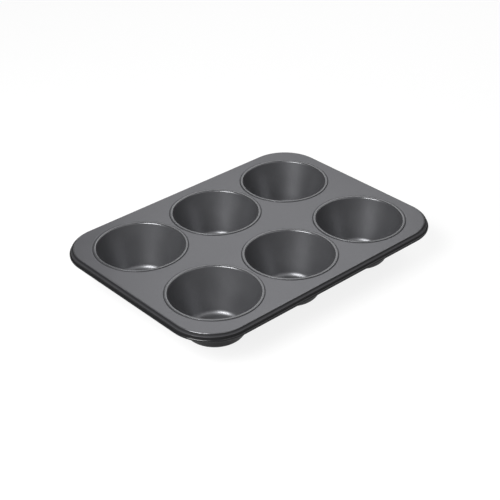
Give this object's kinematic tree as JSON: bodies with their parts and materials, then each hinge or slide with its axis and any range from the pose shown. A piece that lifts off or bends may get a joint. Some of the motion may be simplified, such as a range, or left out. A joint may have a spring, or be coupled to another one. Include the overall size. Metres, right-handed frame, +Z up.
{
  "type": "muffin pan",
  "caption": "Rectangular coated steel baking pan with round tapered cups seamed into a flat deck, rounded corners and a rim rolled over a wire.",
  "frame": {"origin": "on the surface that the cup bases stand on, under the middle of the deck", "axes": "+X along the long side, +Y from the front row of cups to the back row, +Z up out of the cup mouths"},
  "size_m": [0.3556, 0.2616, 0.0508],
  "materials": {
    "coated_deck": "satin non-stick coating",
    "coated_cup": "satin non-stick coating",
    "bare_wire": "drawn wire"
  },
  "bodies": {
    "root": {"deck_plate": "coated_deck", "rim_wire": "bare_wire", "cup_front_left": "coated_cup", "cup_front_middle": "coated_cup", "cup_front_right": "coated_cup", "cup_back_left": "coated_cup", "cup_back_middle": "coated_cup", "cup_back_right": "coated_cup"}
  },
  "joints": []
}
